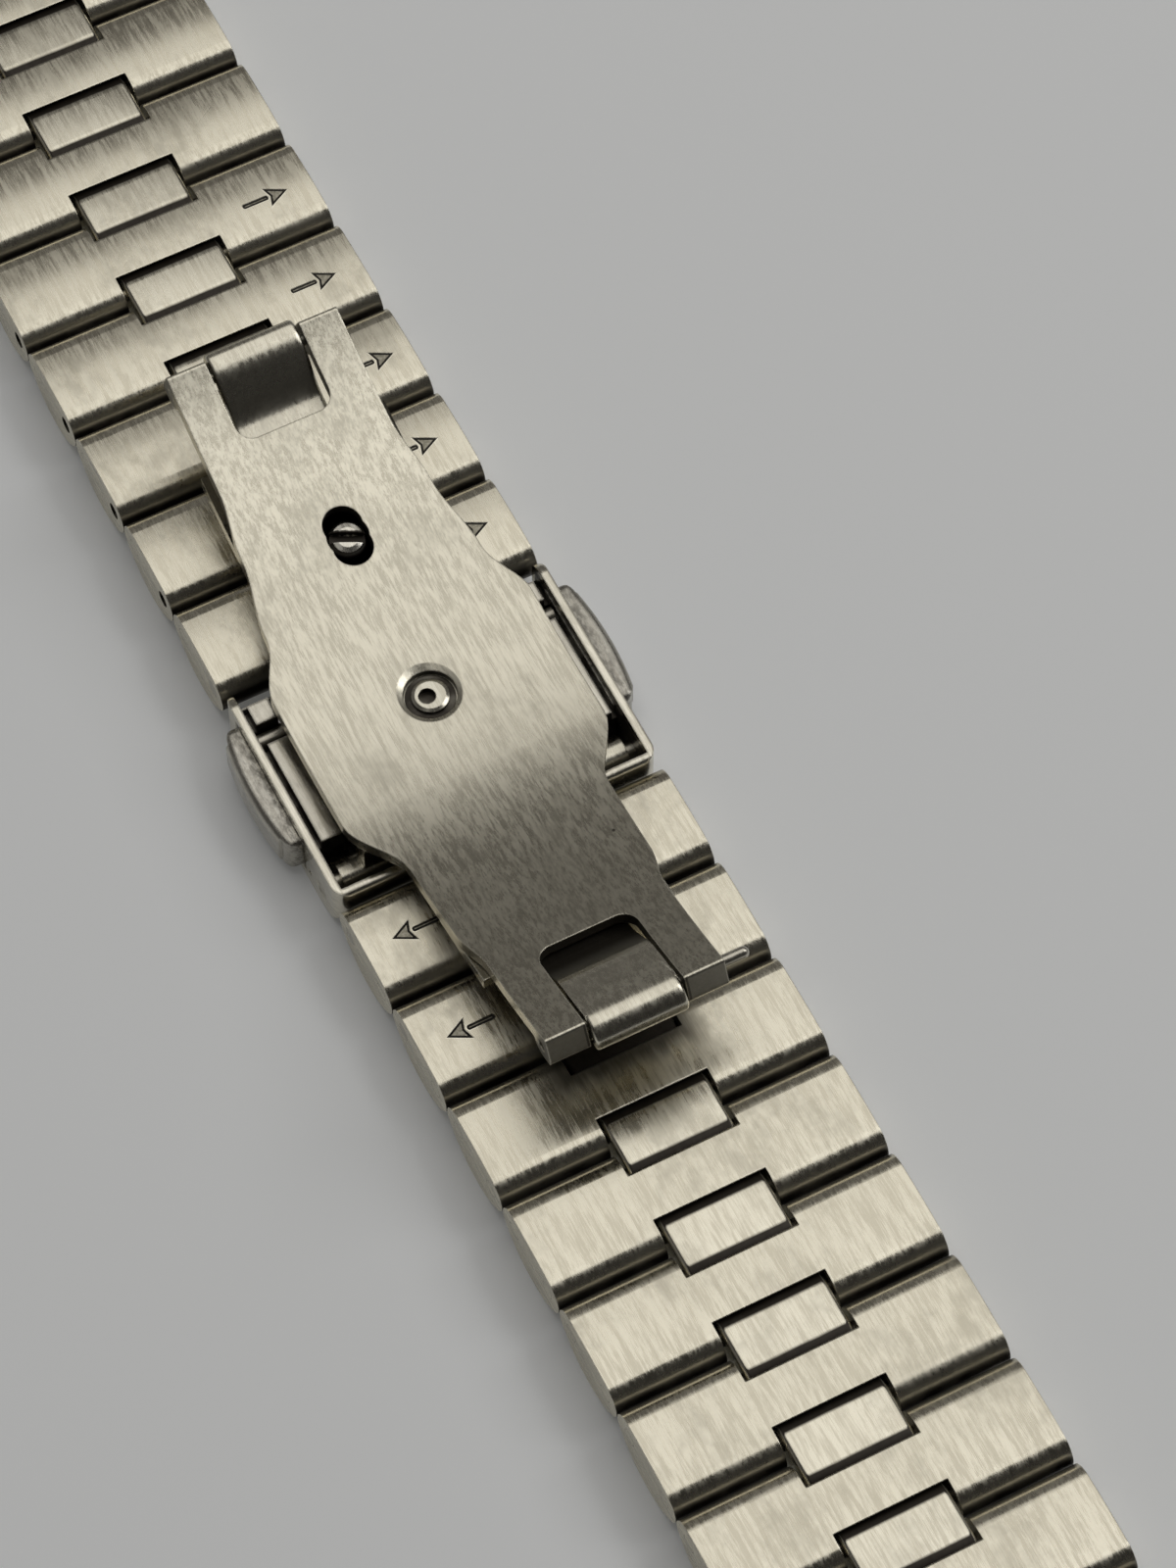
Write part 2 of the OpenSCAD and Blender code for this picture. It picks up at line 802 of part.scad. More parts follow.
// The bar of a slider, inside the right wall, with a lower step that rests against the wall
module slider_bar() {
    for (step = [[slider_in, slider_out, slider_z[1]], [slider_out - eps, slider_flange, slider_flange_z]])
        along_x(step[0], step[1])
            difference() {
                translate([slider_y[0], slider_z[0]])
                    square([slider_y[1] - slider_y[0], step[2] - slider_z[0]]);
                round_off([slider_y[1], slider_z[0]], [-1, 1], slider_edge_r);
            }
}

// The groove that the rod lies in
module rod_way() {
    translate([slider_in - 1, rod_groove[0], rod_at[1] - rod_r - pin_play])
        cube([slider_flange - slider_in + 2, rod_groove[1] - rod_groove[0], box_h]);
}

// The right slider, with its arm and the claw that holds the stud from the far side
module slider() {
    neck = stud_r - stud_groove;
    reach = stud_at[1] - stud_side;
    color("lightgray")
        difference() {
            union() {
                slider_bar();
                translate([-claw_x, reach - arm_w, arm_z[0]])
                    cube([slider_in + claw_x + eps, arm_w, arm_z[1] - arm_z[0]]);
                translate([-claw_x, reach - eps, arm_z[0]])
                    cube([claw_x - neck - claw_gap, stud_side + claw_past, arm_z[1] - arm_z[0]]);
            }
            rod_way();
        }
}

// The left slider is the right one turned about the stud's axis, but for its long bar
module slider_left() {
    neck = stud_r - stud_groove;
    reach = stud_at[1] + stud_side;
    color("lightgray")
        difference() {
            union() {
                mirror([1, 0, 0])
                    slider_bar();
                translate([-slider_in - eps, reach, arm_z[0]])
                    cube([slider_in + claw_x + eps, arm_w, arm_z[1] - arm_z[0]]);
                translate([neck + claw_gap, stud_at[1] - claw_past, arm_z[0]])
                    cube([claw_x - neck - claw_gap, stud_side + claw_past + eps, arm_z[1] - arm_z[0]]);
            }
            mirror([1, 0, 0])
                rod_way();
        }
}

// A spring round the rod, between the collar and the right slider
module spring() {
    sides = spring_sides;
    last = spring_steps * sides;
    points = [for (i = [0:spring_steps]) each spring_ring(i)];
    walls = [
        for (i = [0:spring_steps - 1])
            for (k = [0:sides - 1])
                let (p = i * sides + k, q = i * sides + (k + 1) % sides)
                    each [[p, q, q + sides], [p, q + sides, p + sides]]
    ];
    caps = [for (k = [1:sides - 2]) each [[0, k + 1, k], [last, last + k, last + k + 1]]];
    color("lightgray")
        polyhedron(points, concat(walls, caps));
}

centre_plate();
locking_stud();
hinge_pin_a();
hinge_pin_b();
blade_a();
snap_stud();
blade_b();
clasp_box();
box_pin();
guide_rod();
mirror([1, 0, 0]) button();  // button_left
button();  // button_right
slider_left();
slider();  // slider_right
mirror([1, 0, 0]) spring();  // spring_left
spring();  // spring_right
band_link(1, 1, loose_a);  // link_a1
band_link(1, 2, loose_a);  // link_a2
band_link(1, 3, loose_a);  // link_a3
band_link(1, 4, loose_a);  // link_a4
band_link(1, 5, loose_a);  // link_a5
band_link(1, 6, loose_a);  // link_a6
band_link(1, 7, loose_a);  // link_a7
band_link(1, 8, loose_a);  // link_a8
band_link(-1, 1, loose_b);  // link_b1
band_link(-1, 2, loose_b);  // link_b2
band_link(-1, 3, loose_b);  // link_b3
band_link(-1, 4, loose_b);  // link_b4
band_link(-1, 5, loose_b);  // link_b5
band_link(-1, 6, loose_b);  // link_b6
band_link(-1, 7, loose_b);  // link_b7
band_link(-1, 8, loose_b);  // link_b8
end_link(1);  // end_link_a
end_link(-1);  // end_link_b
connector(1, 1);  // connector_a1
connector(1, 2);  // connector_a2
connector(1, 3);  // connector_a3
connector(1, 4);  // connector_a4
connector(1, 5);  // connector_a5
connector(1, 6);  // connector_a6
connector(1, 7);  // connector_a7
connector(1, 8);  // connector_a8
box_connector();  // connector_b0
connector(-1, 1);  // connector_b1
connector(-1, 2);  // connector_b2
connector(-1, 3);  // connector_b3
connector(-1, 4);  // connector_b4
connector(-1, 5);  // connector_b5
connector(-1, 6);  // connector_b6
connector(-1, 7);  // connector_b7
connector(-1, 8);  // connector_b8
loose_pin(1, 1, 0);  // pin_a1
loose_pin(1, 2, push_depth);  // pin_a2
loose_pin(1, 3, push_depth);  // pin_a3
loose_pin(1, 4, push_depth);  // pin_a4
loose_pin(1, 5, push_depth);  // pin_a5
loose_pin(-1, 1, 0);  // pin_b1
loose_pin(-1, 2, 0);  // pin_b2
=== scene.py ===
import math
import bpy
import bmesh
from mathutils import Matrix, Vector


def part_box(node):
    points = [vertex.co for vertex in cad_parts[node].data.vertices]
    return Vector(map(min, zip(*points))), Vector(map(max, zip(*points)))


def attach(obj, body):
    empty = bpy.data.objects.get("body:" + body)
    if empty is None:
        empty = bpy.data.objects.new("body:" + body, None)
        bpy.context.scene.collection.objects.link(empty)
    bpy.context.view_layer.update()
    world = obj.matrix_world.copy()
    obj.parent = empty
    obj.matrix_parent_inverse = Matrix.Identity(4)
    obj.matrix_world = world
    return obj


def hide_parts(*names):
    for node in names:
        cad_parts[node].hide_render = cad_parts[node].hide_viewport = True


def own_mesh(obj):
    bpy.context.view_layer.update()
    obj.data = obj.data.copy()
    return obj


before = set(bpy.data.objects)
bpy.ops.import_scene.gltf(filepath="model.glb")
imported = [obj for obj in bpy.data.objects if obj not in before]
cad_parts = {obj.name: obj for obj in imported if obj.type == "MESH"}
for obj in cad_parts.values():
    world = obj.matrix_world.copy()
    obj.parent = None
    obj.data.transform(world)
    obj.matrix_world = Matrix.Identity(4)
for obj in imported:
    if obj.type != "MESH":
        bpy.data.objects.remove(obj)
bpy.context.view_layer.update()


# The wide links
# Solid stainless steel bars, brushed along the band. Handling has left smudges and fine scratches on
# them; skin dirt and painted shade darken the shoulders where two links face each other.
MM = 0.001


class Wiring:
    """Adds nodes to a shader tree and links them. A value given to a node is a number or a socket."""

    def __init__(self, tree):
        self.tree = tree

    def node(self, kind, **settings):
        """A new node of this kind, with these settings."""
        node = self.tree.nodes.new(kind)
        for name, value in settings.items():
            setattr(node, name, value)
        return node

    def feed(self, socket, value):
        """Sets a socket to a value, or links it to the socket that gives one."""
        if isinstance(value, bpy.types.NodeSocket):
            self.tree.links.new(value, socket)
        else:
            socket.default_value = value

    def maths(self, operation, *values):
        """A sum, product or the like of numbers."""
        node = self.node("ShaderNodeMath", operation=operation)
        for socket, value in zip(node.inputs, values):
            self.feed(socket, value)
        return node.outputs["Value"]

    def vectors(self, operation, *values):
        """The same with vectors; a length or a dot product comes out as a number."""
        node = self.node("ShaderNodeVectorMath", operation=operation)
        for socket, value in zip(node.inputs, values):
            self.feed(socket, value)
        return node.outputs["Value" if operation in ("LENGTH", "DOT_PRODUCT") else "Vector"]

    def mix(self, factor, first, second):
        """A colour between these two."""
        node = self.node("ShaderNodeMix", data_type="RGBA")
        for label, value in (("Factor", factor), ("A", first), ("B", second)):
            self.feed(node.inputs[label], value)
        return node.outputs["Result"]

    def place(self):
        """The place on the piece at rest."""
        return self.node("ShaderNodeTexCoord").outputs["Object"]

    def facing(self):
        """The direction that the surface faces at rest."""
        return self.node("ShaderNodeTexCoord").outputs["Normal"]

    def part(self, vector, axis):
        """The X, Y or Z of a vector."""
        node = self.node("ShaderNodeSeparateXYZ")
        self.feed(node.inputs["Vector"], vector)
        return node.outputs[axis]

    def size(self, vector, axis):
        """The X, Y or Z of a vector, without its sign."""
        return self.maths("ABSOLUTE", self.part(vector, axis))

    def noise(self, place, scale, detail, roughness=0.6):
        """Noise that is finer or coarser in each direction, in cycles a metre."""
        stretched = self.node("ShaderNodeMapping")
        self.feed(stretched.inputs["Vector"], place)
        self.feed(stretched.inputs["Scale"], scale)
        node = self.node("ShaderNodeTexNoise")
        self.feed(node.inputs["Vector"], stretched.outputs["Vector"])
        for label, value in (("Scale", 1), ("Detail", detail), ("Roughness", roughness)):
            self.feed(node.inputs[label], value)
        return node.outputs["Fac"]

    def ramp(self, value, low, high, to_low=0.0, to_high=1.0):
        """The value moved from one range to another, smoothly, and kept inside it."""
        node = self.node("ShaderNodeMapRange", interpolation_type="SMOOTHSTEP")
        for label, given in (("Value", value), ("From Min", low), ("From Max", high),
                             ("To Min", to_low), ("To Max", to_high)):
            self.feed(node.inputs[label], given)
        return node.outputs["Result"]

    def between(self, value, rise, fall):
        """A mask of the values from one soft limit to another."""
        return self.maths("MULTIPLY", self.ramp(value, *rise), self.ramp(value, *fall, 1.0, 0.0))


def mask_group(name, inputs, *masks):
    """A node group with these number inputs that puts out these masks: its wiring, inputs and outputs."""
    group = bpy.data.node_groups.new(name, "ShaderNodeTree")
    for label, value in inputs.items():
        socket = group.interface.new_socket(label, in_out="INPUT", socket_type="NodeSocketFloat")
        socket.default_value = value
    for label in masks:
        group.interface.new_socket(label, in_out="OUTPUT", socket_type="NodeSocketFloat")
    net = Wiring(group)
    return net, net.node("NodeGroupInput").outputs, net.node("NodeGroupOutput").inputs


# The grain in cycles a metre across, along and through the band, with its detail and roughness.
FINE_LINES, COARSE_LINES = ((6800, 460, 6800), 3, 0.7), ((3000, 260, 3000), 4, 0.65)
SCRATCHES = ((5200, 170, 5200), 2)
ROUNDING, ROUNDED_LINES = (0.42, 0.6), 0.25


def brushing_group():
    """Brush lines along the band, as a mask and as a height for the bump; round shoulders have few."""
    net, given, out = mask_group("brushing", {"scratching": 1.0}, "lines", "height")
    place = net.place()
    fine, coarse = net.noise(place, *FINE_LINES), net.noise(place, *COARSE_LINES)
    lines = net.maths("MULTIPLY_ADD", coarse, 0.5, net.maths("MULTIPLY", fine, 0.5))
    level = net.ramp(net.size(net.facing(), "Y"), *ROUNDING, 1.0, ROUNDED_LINES)
    lines = net.maths("MULTIPLY_ADD", net.maths("SUBTRACT", lines, 0.5), level, 0.5)
    scratch = net.ramp(net.noise(place, *SCRATCHES), 0.7, 0.8)
    cut = net.maths("MULTIPLY", scratch, given["scratching"])
    net.feed(out["lines"], lines)
    net.feed(out["height"], net.maths("MULTIPLY_ADD", cut, -0.5, lines))
    return net.tree


BROAD_SMUDGES, BLOTS = ((190, 120, 190), 4), ((1100, 700, 1100), 6, 0.75)
HAIRLINES, HAIRLINE_PATCHES, HAIRLINE_TURN = ((4200, 130, 4200), 2), ((230, 230, 230), 2), math.radians(57)


def handling_group():
    """Smudges of handling, and odd hairlines that run across the brushing, as masks."""
    net, _, out = mask_group("handling", {}, "smudge", "hairline")
    place = net.place()
    broad, blot = net.noise(place, *BROAD_SMUDGES), net.noise(place, *BLOTS)
    both = net.maths("MULTIPLY_ADD", blot, 0.45, net.maths("MULTIPLY", broad, 0.55))
    turned = net.node("ShaderNodeMapping")
    net.feed(turned.inputs["Vector"], place)
    net.feed(turned.inputs["Rotation"], (0, 0, HAIRLINE_TURN))
    hair = net.ramp(net.noise(turned.outputs["Vector"], *HAIRLINES), 0.7, 0.75)
    few = net.ramp(net.noise(place, *HAIRLINE_PATCHES), 0.5, 0.62)
    net.feed(out["smudge"], net.ramp(both, 0.47, 0.66))
    net.feed(out["hairline"], net.maths("MULTIPLY", hair, few))
    return net.tree


# Where the plate's end B overhangs the links and painted shade darkens them: its limits along the band, its middle
# and half width.
OVERHANG_FROM, OVERHANG_TO = (-23.6 * MM, -22.2 * MM), (-18.5 * MM, -17.5 * MM)
OVERHANG_X, OVERHANG_HALF = -0.4 * MM, (3.2 * MM, 5.2 * MM)
OVERHANG_SHADE_STREAKS, STREAK_LENGTH = ((1800, 260, 1800), 4), 1.6 * MM


def shoulder_dirt_and_shade_group():
    """Dirt and painted shade between two heights, on faces that look along the band, and painted shade below the
    overhang, as a mask.
    """
    net, given, out = mask_group(
        "shoulder_dirt_and_shade", {"bottom": 1.5 * MM, "top": 3.3 * MM, "fade": 0.4 * MM, "sides": 0.0}, "dirt_and_shade")
    place = net.place()
    bottom, top, fade = given["bottom"], given["top"], given["fade"]
    band = net.between(net.part(place, "Z"), (bottom, net.maths("ADD", bottom, fade)),
                       (net.maths("SUBTRACT", top, fade), top))
    along_band = net.ramp(net.size(net.facing(), "X"), 0.3, 0.7, 1.0, 0.0)
    faces = net.maths("MAXIMUM", along_band, given["sides"])
    uneven = net.ramp(net.noise(place, (500, 900, 900), 3, 0.5), 0.3, 0.6, 0.82, 1.0)
    shoulder = net.maths("MULTIPLY", net.maths("MULTIPLY", band, faces), uneven)
    # Painted shade under the plate's end B, with a streaky edge along the band.
    along = net.maths("MULTIPLY_ADD", net.noise(place, *OVERHANG_SHADE_STREAKS), STREAK_LENGTH, net.part(place, "Y"))
    sideways = net.maths("ABSOLUTE", net.maths("SUBTRACT", net.part(place, "X"), OVERHANG_X))
    overhang_shade = net.maths("MULTIPLY", net.between(along, OVERHANG_FROM, OVERHANG_TO),
                        net.ramp(sideways, *OVERHANG_HALF, 0.8, 0.0))
    net.feed(out["dirt_and_shade"], net.maths("MAXIMUM", shoulder, overhang_shade))
    return net.tree


WORN_HIGHLIT_EDGE, BEVEL_SAMPLES = 0.12 * MM, 4


def edge_wear_and_highlight_group():
    """Where an edge is rounded over, as a mask; the steel there is painted lighter, as wear and as a highlight
    line.
    """
    net, _, out = mask_group("edge_wear_and_highlight", {}, "edge")
    rounded = net.node("ShaderNodeBevel", samples=BEVEL_SAMPLES)
    net.feed(rounded.inputs["Radius"], WORN_HIGHLIT_EDGE)
    flat = net.node("ShaderNodeNewGeometry").outputs["Normal"]
    turn = net.vectors("DOT_PRODUCT", flat, rounded.outputs["Normal"])
    net.feed(out["edge"], net.ramp(turn, 0.8, 0.985, 1.0, 0.0))
    return net.tree


BRUSHING = brushing_group()
HANDLING = handling_group()
SHOULDER_DIRT_AND_SHADE = shoulder_dirt_and_shade_group()
EDGE_WEAR_AND_HIGHLIGHT = edge_wear_and_highlight_group()
# Dirt and painted shade: its colour, roughness and loss of metal.
DIRT_AND_SHADE_BROWN, DIRT_AND_SHADE_ROUGHNESS, DIRT_AND_SHADE_METAL_LOSS = (0.030, 0.024, 0.017, 1), 0.15, 0.35
LINE_CONTRAST, GLOSS_CONTRAST = (0.41, 0.59), (0.36, 0.64)
# Smudges darken the steel; worn edges are painted lighter, as wear and as highlight lines.
SMUDGE_SHARE, SMUDGE_SHADE, RUBBED_HIGHLIGHT_SHADE = 0.35, 0.8, 1.12
BUMP_HEIGHT, HAIRLINE_DEPTH = 0.01 * MM, 0.8


def dirt_and_shade_below(top, fade, bottom=1.0 * MM, sides=0):
    """Dirt and painted shade up to this height; with sides at 1, it is on the faces of every direction."""
    return SHOULDER_DIRT_AND_SHADE, bottom, top, fade, sides


def steel(name, worn, clean, rough, brushed, bump, edge, dirt_and_shade=None, smudge_rough=0.12, dirt_and_shade_level=1.0, rim=0.0):
    """Stainless steel between two colours and two roughnesses, brushed along the band, its edges rounded.

    The dirt and painted shade is a group with its values in their order. The rim says how much of it is taken off
    the edges, leaving bright painted rim lines.
    """
    mat = bpy.data.materials.new(name)
    mat.use_nodes = True
    net = Wiring(mat.node_tree)
    skin = mat.node_tree.nodes["Principled BSDF"].inputs
    skin["Metallic"].default_value = 1.0
    skin["Anisotropic"].default_value = brushed

    def placed(group, *values):
        """The outputs of this group in the material, with its own values on the inputs."""
        node = net.node("ShaderNodeGroup", node_tree=group)
        for socket, value in zip(node.inputs, values):
            socket.default_value = value
        return node.outputs

    brushing, handling, wear_and_highlight = placed(BRUSHING), placed(HANDLING), placed(EDGE_WEAR_AND_HIGHLIGHT)
    lines, smudge = brushing["lines"], handling["smudge"]
    smudged = tuple(c * SMUDGE_SHADE for c in worn)
    rubbed_and_highlit = tuple(min(1.0, c * RUBBED_HIGHLIGHT_SHADE) for c in clean)
    colour = net.mix(net.ramp(lines, *LINE_CONTRAST), (*worn, 1), (*clean, 1))
    colour = net.mix(net.maths("MULTIPLY", smudge, SMUDGE_SHARE), colour, (*smudged, 1))
    # Edges painted lighter: worn metal and a painted highlight line.
    colour = net.mix(wear_and_highlight["edge"], colour, (*rubbed_and_highlit, 1))
    roughness = net.maths("MULTIPLY_ADD", smudge, smudge_rough, net.ramp(lines, *GLOSS_CONTRAST, *rough))
    # Dirt and painted shade darken the steel, less on the edges where the rim takes it off.
    if dirt_and_shade:
        kept = net.maths("MULTIPLY_ADD", wear_and_highlight["edge"], -rim, dirt_and_shade_level)
        grime_and_shade = net.maths("MULTIPLY", placed(*dirt_and_shade)["dirt_and_shade"], kept)
        colour = net.mix(grime_and_shade, colour, DIRT_AND_SHADE_BROWN)
        roughness = net.maths("MULTIPLY_ADD", grime_and_shade, DIRT_AND_SHADE_ROUGHNESS, roughness)
        net.feed(skin["Metallic"], net.maths("MULTIPLY_ADD", grime_and_shade, -DIRT_AND_SHADE_METAL_LOSS, 1.0))
    net.feed(skin["Base Color"], colour)
    net.feed(skin["Roughness"], roughness)

    across = net.node("ShaderNodeCombineXYZ")
    across.inputs["X"].default_value = 1.0
    turned = net.node("ShaderNodeVectorTransform", vector_type="VECTOR", convert_from="OBJECT", convert_to="WORLD")
    net.feed(turned.inputs["Vector"], across.outputs["Vector"])
    net.feed(skin["Tangent"], turned.outputs["Vector"])

    rounded = net.node("ShaderNodeBevel", samples=BEVEL_SAMPLES)
    net.feed(rounded.inputs["Radius"], edge)
    bumped = net.node("ShaderNodeBump")
    height = net.maths("MULTIPLY_ADD", handling["hairline"], -HAIRLINE_DEPTH, brushing["height"])
    for label, value in (("Strength", bump), ("Distance", BUMP_HEIGHT), ("Height", height),
                         ("Normal", rounded.outputs["Normal"])):
        net.feed(bumped.inputs[label], value)
    net.feed(skin["Normal"], bumped.outputs["Normal"])
    return mat


def dress(nodes, material):
    """Gives CAD nodes this material."""
    for node in nodes:
        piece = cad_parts[node]
        piece.data.materials.clear()
        piece.data.materials.append(material)


# Dirt and painted shade on the shoulders, from 1 mm up to 3.5 mm.
LINK_STEEL = steel("link_steel", worn=(0.600, 0.560, 0.452), clean=(0.830, 0.784, 0.648), rough=(0.18, 0.34),
                   brushed=0.55, bump=0.22, edge=0.08 * MM, dirt_and_shade=dirt_and_shade_below(3.5 * MM, fade=0.7 * MM))
dress([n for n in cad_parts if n.startswith(("link_", "end_link_"))], LINK_STEEL)


# The connectors
# Narrow bars of the same brushed steel with tumbled edges, which turn on the pins in the links' slots.
# Their round ends are painted dark as the shade in the slots; the three under the plate are painted near black, as
# the shade they lie in.
CONNECTOR_HALF_W, CONNECTOR_R = 3.2, 1.3
PIN_INSET, PIN_Z, PIN_HOLE_R = 1.4, 2.35, 0.55
TUMBLED_R, END_EASE = 0.3, 0.35
ROUND_STEPS, EDGE_STEPS = 32, 5
UNDER_THE_PLATE = ("connector_a1", "connector_b1", "connector_b2")
# Painted shade on the round ends, below the flat top.
CONNECTOR_STEEL = steel("connector_steel", worn=(0.630, 0.590, 0.480), clean=(0.860, 0.816, 0.680),
                        rough=(0.17, 0.30), brushed=0.5, bump=0.3, edge=0.05 * MM,
                        dirt_and_shade=dirt_and_shade_below(3.645 * MM, fade=0.03 * MM), dirt_and_shade_level=1.2)
# Near-black steel: painted shade for the connectors under the plate.
SHADED_CONNECTOR_STEEL = steel("shaded_connector_steel", worn=(0.020, 0.017, 0.013), clean=(0.07, 0.062, 0.048),
                              rough=(0.4, 0.55), brushed=0.3, bump=0.5, edge=0.05 * MM,
                              dirt_and_shade=dirt_and_shade_below(3.62 * MM, fade=0.10 * MM))


def connector_outline(inset):
    """The side view of a connector, drawn in by this much; its inner face is eased down to the round ends."""
    end = []
    for i in range(ROUND_STEPS + 1):
        a = math.radians(90 - 180 * i / ROUND_STEPS)
        y, z = math.cos(a), math.sin(a)
        ease = END_EASE if z > 0 else 0
        p = Vector((PIN_INSET - ease + (CONNECTOR_R + ease) * y, CONNECTOR_R * z))
        n = Vector((y / (CONNECTOR_R + ease), z / CONNECTOR_R)).normalized()
        end.append(p - n * inset)
    return [(p.x, p.y) for p in end] + [(-p.x, p.y) for p in reversed(end)]


def closed_pairs(ring):
    """Each point of a closed ring with the next one."""
    return list(zip(ring, ring[1:] + ring[:1]))


def skin_over(mesh, rings, smooth=True):
    """Faces from each closed ring of points to the next one, as a row for each step."""
    rows = []
    for first, second in zip(rings, rings[1:]):
        row = [mesh.faces.new((a, b, d, c)) for (a, b), (c, d) in zip(closed_pairs(first), closed_pairs(second))]
        for face in row:
            face.smooth = smooth
        rows.append(row)
    return rows


def made_piece(name, mesh, *materials):
    """A new object with this mesh and these materials."""
    data = bpy.data.meshes.new(name)
    mesh.to_mesh(data)
    mesh.free()
    for material in materials:
        data.materials.append(material)
    piece = bpy.data.objects.new(name, data)
    bpy.context.scene.collection.objects.link(piece)
    return piece


def connector_bar(name):
    """A connector as a row of outlines across the band, with two holes for its pins."""
    low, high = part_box(name)
    line = (low[1] + high[1]) / 2
    mesh = bmesh.new()

    def ring(x, side_view):
        """The points of this outline at one place across the band."""
        return [mesh.verts.new((x * MM, line + y * MM, (PIN_Z + z) * MM)) for y, z in side_view]

    left_edge = []
    for i in range(EDGE_STEPS + 1):
        a = math.radians(90 * i / EDGE_STEPS)
        left_edge.append((-CONNECTOR_HALF_W + TUMBLED_R * (1 - math.sin(a)), TUMBLED_R * (1 - math.cos(a))))
    stations = left_edge[::-1] + [(-x, inset) for x, inset in left_edge]
    outlines = [ring(x, connector_outline(inset)) for x, inset in stations]
    skin_over(mesh, outlines)

    circle = [(PIN_HOLE_R * math.cos(math.tau * k / ROUND_STEPS), PIN_HOLE_R * math.sin(math.tau * k / ROUND_STEPS))
              for k in range(ROUND_STEPS)]
    holes = []
    for outline, x in ((outlines[0], -CONNECTOR_HALF_W), (outlines[-1], CONNECTOR_HALF_W)):
        edges = [mesh.edges.get(pair) for pair in closed_pairs(outline)]
        for pin in (-PIN_INSET, PIN_INSET):
            hole = ring(x, [(pin + y, z) for y, z in circle])
            edges += [mesh.edges.new(pair) for pair in closed_pairs(hole)]
            holes.append(hole)
        bmesh.ops.triangle_fill(mesh, edges=edges, use_beauty=True)
    for left, right in zip(holes, holes[2:]):
        skin_over(mesh, (left, right))
    bmesh.ops.recalc_face_normals(mesh, faces=mesh.faces)
    piece = made_piece("bar_" + name, mesh, SHADED_CONNECTOR_STEEL if name in UNDER_THE_PLATE else CONNECTOR_STEEL)
    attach(piece, name)
    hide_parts(name)


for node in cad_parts:
    if node.startswith("connector_") and node != "connector_b0":
        connector_bar(node)
dress(["connector_b0"], CONNECTOR_STEEL)


# The removable pins
# Drawn steel pins, pushed in from the left and flush with the links' right sides.
PIN_STEEL = steel("pin_steel", worn=(0.50, 0.473, 0.405), clean=(0.60, 0.570, 0.490), rough=(0.24, 0.36),
                  brushed=0.1, bump=0.2, edge=0.05 * MM)
dress([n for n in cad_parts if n.startswith("pin_")], PIN_STEEL)


# The direction arrows
# Small arrows cut into the inner faces of the links whose pins come out; each shows the way to push.
# Each is a thin sheet on the face: a near-black band paints the shade of the cut's walls, with a duller floor
# inside and a fine bright burr round it.
LINK_CROWN_R, LINK_FACE_Z, LINK_HALF = 30, 3.7, 1.95
ARROW_TIPS = {"link_a1": (8.36, 0.05), "link_a2": (8.36, -0.14), "link_a3": (8.7, -0.36), "link_a4": (8.19, -0.42),
              "link_a5": (8.25, -0.34), "link_b1": (-8.2, 0.02), "link_b2": (-8.24, -0.08)}
# The arrow's two outlines, in mm from its tip: along the arrow, and to its left.
HEAD = [(0.12, 0), (-1.2, 0.69), (-0.98, 0), (-1.2, -0.69)]
TAIL = [(-1.13, 0.06), (-1.2, 0.16), (-2.72, 0.16), (-2.8, 0.06), (-2.8, -0.06), (-2.72, -0.16), (-1.2, -0.16),
        (-1.13, -0.06)]
CUT_WALL, BURR, BURR_LIFT = 0.135, 0.045, 0.008
SHARPEST_SPREAD = 0.35


def cut_steel(name, dark, light, rough, metallic):
    """The inside of a fine cut: dull steel, uneven in tone."""
    mat = bpy.data.materials.new(name)
    mat.use_nodes = True
    net = Wiring(mat.node_tree)
    skin = mat.node_tree.nodes["Principled BSDF"].inputs
    skin["Metallic"].default_value = metallic
    skin["Roughness"].default_value = rough
    patch = net.ramp(net.noise(net.place(), (5000, 5000, 5000), 4, 0.7), 0.35, 0.7)
    net.feed(skin["Base Color"], net.mix(patch, (*dark, 1), (*light, 1)))
    return mat


# The cut's walls are painted near black, as their shade.
CUT_WALL_SHADE = cut_steel("cut_wall_shade", (0.012, 0.010, 0.007), (0.045, 0.040, 0.030), rough=0.75, metallic=0.2)
CUT_FLOOR = cut_steel("cut_floor", (0.26, 0.243, 0.19), (0.50, 0.47, 0.385), rough=0.4, metallic=0.9)
CUT_BURR = steel("cut_burr", worn=(0.74, 0.70, 0.58), clean=(0.86, 0.82, 0.69), rough=(0.15, 0.25),
                 brushed=0.2, bump=0.2, edge=0.02 * MM)


def crown_height(dy):
    """Height of a link's inner face, this far from its middle line, in mm."""
    return LINK_FACE_Z + math.sqrt(LINK_CROWN_R ** 2 - dy * dy) - math.sqrt(LINK_CROWN_R ** 2 - LINK_HALF ** 2)


def drawn_in(outline, inset):
    """A closed counter-clockwise outline, moved inwards by this much, or outwards where it is below zero."""
    count = len(outline)
    moved = []
    for k in range(count):
        before, here, after = (Vector(outline[(k + j) % count]) for j in (-1, 0, 1))
        a, b = (here - before).normalized(), (after - here).normalized()
        n = Vector((a.y + b.y, -a.x - b.x)).normalized()
        spread = max(SHARPEST_SPREAD, n.dot(Vector((a.y, -a.x))))
        moved.append(tuple(here - n * (inset / spread)))
    return moved


